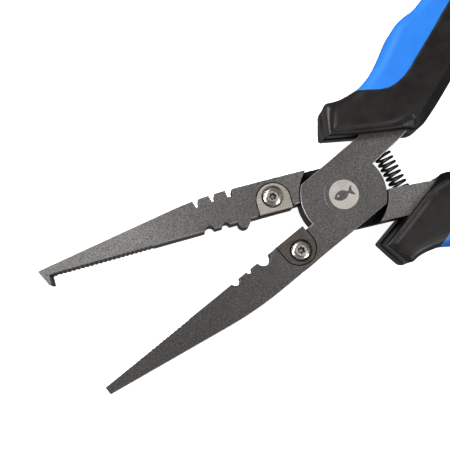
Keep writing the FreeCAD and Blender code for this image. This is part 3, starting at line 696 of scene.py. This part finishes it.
def mark_mesh(name, material):
    """Generic badge let into the hub: a thin disc with a plain fish cut out of it."""
    disc = circle((0, 0), MARK_RADIUS, 72)
    fish = smooth_line(FISH, 0.2, closed=True)
    eye = circle(FISH_EYE, FISH_EYE_RADIUS, 16)
    flat, faces = triangulate([disc, fish, eye], [], np.zeros((0, 2)))
    middle = flat[faces].mean(1)
    faces = faces[inside(middle, disc) & (~inside(middle, fish) | inside(middle, eye))]
    used = np.unique(faces)
    index = {v: i for i, v in enumerate(used)}
    count = len(used)
    top, bottom = STEEL_HIGH + MARK_PROUD, STEEL_HIGH - MARK_DEPTH
    points = [(*flat[v], top) for v in used] + [(*flat[v], bottom) for v in used]
    out = [[index[a], index[b], index[c]] for a, b, c in faces]
    out += [[index[c] + count, index[b] + count, index[a] + count] for a, b, c in faces]
    for a, b in border_edges(faces.tolist()):
        out.append([index[b], index[a], index[a] + count, index[b] + count])
    return make_object(name, np.array(points) * MM, out, material)


# ---------------------------------------------------------------- pieces

# Colours of the levers and of the pin: dark and light speckle of the faces, the cut sides, and the painted
# highlight on edges and chamfers.
LEVER_COLOURS = ((0.034, 0.0325, 0.031), (0.175, 0.170, 0.165), (0.12, 0.115, 0.11), (0.50, 0.485, 0.465))
PIN_COLOURS = (*LEVER_COLOURS[:2], (0.03, 0.03, 0.031), (0.3, 0.29, 0.28))
# Painted light and shade along each lever: (x, level) steps, with x in millimetres along the tool.
FRONT_PAINTED_LIGHT = [(-80.0, 0.50), (-45.0, 0.44), (-22.0, 0.60), (0.0, 0.80), (12.0, 0.85), (30.0, 0.95)]
REAR_PAINTED_LIGHT = [(-82.0, 0.92), (-55.0, 1.1), (-38.0, 0.76), (-20.0, 0.72), (10.0, 1.25), (30.0, 1.6)]


def blade_seat(node):
    """Middle of a blade's box, at its top, and the radius that the blade's seat lies within."""
    low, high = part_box(node)
    middle = (low + high) / 2
    return (middle.x, middle.y, high.z), SEAT_RADIUS


front_steel = blasted_steel("front_steel", *LEVER_COLOURS, FRONT_PAINTED_LIGHT, LAP,
                            blade_seat("front_cutter_blade"))
rear_steel = blasted_steel("rear_steel", *LEVER_COLOURS, REAR_PAINTED_LIGHT, LAP,
                           blade_seat("rear_cutter_blade"))
pin_steel = blasted_steel("pin_steel", *PIN_COLOURS, FRONT_PAINTED_LIGHT)
# One ground steel in two copies: the rear blade's lighter colours are painted light, the front blade's
# darker ones painted shade.
rear_blade_lit_steel = ground_steel("rear_blade_lit_steel", (0.25, 0.228, 0.20), (0.45, 0.415, 0.37), HALF_OPENING)
front_blade_shaded_steel = ground_steel("front_blade_shaded_steel", (0.045, 0.039, 0.034), (0.13, 0.115, 0.102),
                                 -HALF_OPENING)
screw_steel = {}
for screw in ("front_cutter_screw", "rear_cutter_screw"):
    screw_low, screw_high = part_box(screw)
    screw_steel[screw] = bright_steel(screw + "_steel", (screw_low + screw_high) / 2, screw_high.z / MM,
                                      SCREW_DRIVE_RADIUS)
spring_black = black_wire("spring_black")
mark_grey = ground_steel("mark_grey", (0.44, 0.41, 0.375), (0.56, 0.525, 0.485))
# The third colour of each handle material is its painted edge highlight.
handle_black = moulded("handle_black", (0.0045, 0.0038, 0.0035), (0.0085, 0.0074, 0.0068),
                       (0.035, 0.031, 0.029), 0.38, 0.03, inner=(0.0012, 0.0011, 0.001),
                       Specular_IOR_Level=0.24)
grip_blue = moulded("grip_blue", (0.006, 0.116, 0.445), (0.010, 0.131, 0.49),
                    (0.04, 0.19, 0.62), 0.58, 0.025, Specular_IOR_Level=0.28)

NODE_MATERIALS = {
    "front_lever": front_steel,
    "rear_lever": rear_steel,
    "pivot_pin": pin_steel,
    "pivot_collar": pin_steel,
    "front_cutter_blade": front_blade_shaded_steel,
    "rear_cutter_blade": rear_blade_lit_steel,
    **screw_steel,
}
for node, material in NODE_MATERIALS.items():
    for material_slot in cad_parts[node].material_slots:
        material_slot.link = "OBJECT"
        material_slot.material = material

parts = handle_parts()
body_faces, grip_faces = parts[4:]
for label, place in (("front", place_front), ("rear", place_rear)):
    shell = handle_mesh(f"{label}_handle_shell", place, parts, body_faces, handle_black)
    inlay = handle_mesh(f"{label}_grip_inlay", place, parts, grip_faces, grip_blue)
    for piece, node, finish in ((shell, f"{label}_handle_body", "handle_black"),
                                (inlay, f"{label}_handle_grip", "grip_blue")):
        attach(piece, f"{label}_half")
        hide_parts(node)

spring = spring_mesh("return_coil", spring_black)
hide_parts("return_spring")
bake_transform(spring)

mark = mark_mesh("hub_mark", mark_grey)
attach(mark, "front_half")


# ---------------------------------------------------------------- stage, light and camera

def make_floor():
    """Plain pale floor just under the handles, swept up all round far from the object."""
    level = CAD_BOX[0].z - 0.0001
    flat_reach, sweep, height, sweep_steps, count = 1.4, 1.6, 4.0, 12, 48
    rings = [(flat_reach, level)]
    for step in range(1, sweep_steps + 1):
        turn = math.pi / 2 * step / sweep_steps
        rings.append((flat_reach + sweep * math.sin(turn), level + sweep * (1 - math.cos(turn))))
    rings.append((flat_reach + sweep, level + height))
    verts = [(0.0, 0.0, level)]
    for reach, z in rings:
        verts += [(x, y, z) for x, y in circle((0.0, 0.0), reach, count)]
    faces = [(0, 1 + k, 1 + (k + 1) % count) for k in range(count)]
    for ring in range(len(rings) - 1):
        base = 1 + ring * count
        for k in range(count):
            after = (k + 1) % count
            faces.append((base + k, base + count + k, base + count + after, base + after))
    mesh = bpy.data.meshes.new("floor")
    mesh.from_pydata(verts, [], faces)
    mesh.shade_smooth()
    n = Nodes("floor_white")
    cloud = n.noise(60.0, 2.0, 0.5)
    colour = n.mix(cloud, (0.90, 0.90, 0.90), (0.93, 0.93, 0.93))
    n.finish(colour, 0.9)
    n.shader.inputs["Emission Color"].default_value = (1.0, 1.0, 1.0, 1.0)
    n.shader.inputs["Emission Strength"].default_value = 0.9
    mesh.materials.append(n.material)
    floor = bpy.data.objects.new("floor", mesh)
    floor.visible_diffuse = False
    floor.visible_glossy = False
    floor.visible_shadow = False
    bpy.context.scene.collection.objects.link(floor)


def make_world():
    """Even grey surroundings, a little brighter at and below the horizon."""
    world = bpy.data.worlds.new("studio")
    bpy.context.scene.world = world
    world.use_nodes = True
    tree = world.node_tree
    background = tree.nodes["Background"]
    place = tree.nodes.new("ShaderNodeTexCoord")
    parts = tree.nodes.new("ShaderNodeSeparateXYZ")
    ramp = tree.nodes.new("ShaderNodeValToRGB")
    tree.links.new(place.outputs["Generated"], parts.inputs[0])
    tree.links.new(parts.outputs["Z"], ramp.inputs["Fac"])
    tree.links.new(ramp.outputs["Color"], background.inputs["Color"])
    ramp.color_ramp.elements[0].position = 0.0
    ramp.color_ramp.elements[0].color = (0.24, 0.24, 0.24, 1.0)
    ramp.color_ramp.elements[1].position = 0.25
    ramp.color_ramp.elements[1].color = (0.22, 0.22, 0.22, 1.0)
    background.inputs["Strength"].default_value = 1.0


def make_light(name, azimuth, elevation, size, power):
    """Soft square light aimed at AIM. Azimuth is anticlockwise from +X."""
    light = bpy.data.lights.new(name, "AREA")
    light.shape = "SQUARE"
    light.size = size
    light.energy = power
    holder = bpy.data.objects.new(name, light)
    a, e = math.radians(azimuth), math.radians(elevation)
    towards = Vector((math.cos(a) * math.cos(e), math.sin(a) * math.cos(e), math.sin(e)))
    holder.location = AIM + towards * LIGHT_DISTANCE
    holder.rotation_euler = towards.to_track_quat("Z", "Y").to_euler()
    bpy.context.scene.collection.objects.link(holder)


AIM = Vector((-0.02, 0.0, STEEL_HIGH * MM))  # on the jaws' side of the pivot, at the steel's top face
LIGHT_DISTANCE = 0.9
make_floor()
make_world()
make_light("key", 112.0, 50.0, 0.35, 13.0)
make_light("side", 165.0, 16.0, 0.4, 8.0)
make_light("fill", -38.0, 60.0, 0.3, 1.7)
make_light("edge", -62.0, 22.0, 0.4, 4.5)

# The camera looks almost straight down on the hub and the jaws. The handles leave the picture.
CAMERA_PLACE = (-0.05333, -0.01537, 0.19814)
CAMERA_TURN = (8.7582, -2.3779, -27.2217)
CAMERA_LENS = 57.4
camera_data = bpy.data.cameras.new("camera")
camera_data.lens = CAMERA_LENS
camera_data.sensor_width = 36.0
camera_data.clip_start = 0.01
camera_data.clip_end = 20.0
camera = bpy.data.objects.new("camera", camera_data)
camera.location = CAMERA_PLACE
camera.rotation_euler = [math.radians(angle) for angle in CAMERA_TURN]
bpy.context.scene.collection.objects.link(camera)
bpy.context.scene.camera = camera
bpy.context.scene.view_settings.view_transform = "Standard"
